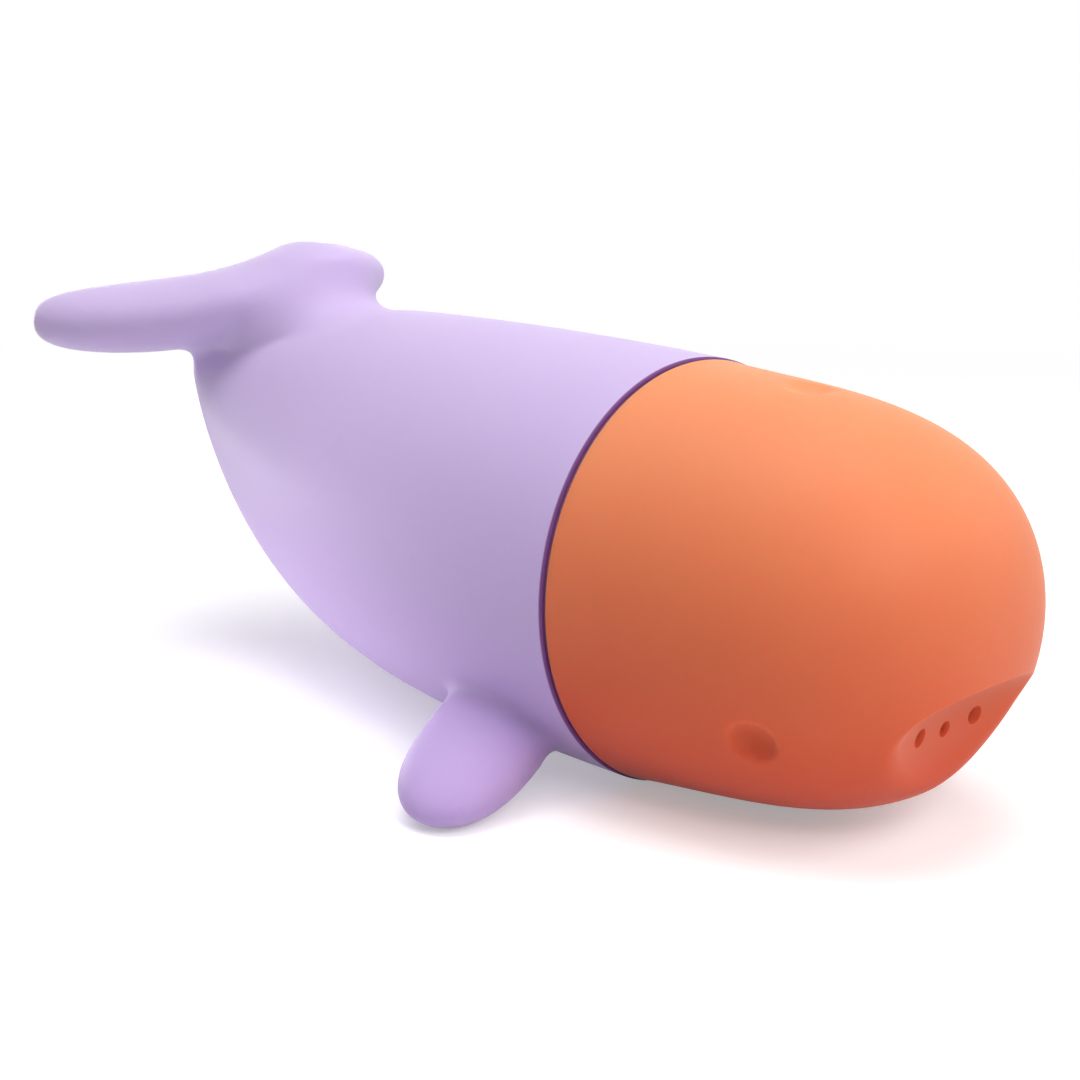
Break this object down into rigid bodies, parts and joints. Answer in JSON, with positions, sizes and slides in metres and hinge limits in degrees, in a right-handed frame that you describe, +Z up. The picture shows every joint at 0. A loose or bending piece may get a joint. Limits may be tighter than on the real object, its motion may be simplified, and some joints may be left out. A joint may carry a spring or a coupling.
{
  "type": "whale squirt bath toy",
  "caption": "Whale-shaped soft silicone bath toy: a lavender tail with fluke and flippers, and an orange squirting head that pulls off for filling, cleaning and drying.",
  "frame": {"origin": "on the floor under the middle of the toy", "axes": "+X towards the nose, +Y towards the whale's left, +Z up"},
  "size_m": [0.135, 0.0676, 0.054],
  "materials": {
    "lavender_silicone": "matte",
    "orange_silicone": "matte"
  },
  "bodies": {
    "tail": {"tail_body": "lavender_silicone"},
    "head": {"head": "orange_silicone"}
  },
  "joints": [
    {"name": "head_pull", "type": "slide", "parent": "tail", "child": "head", "axis": [1, 0, 0], "range_m": [0, 0.03]}
  ]
}
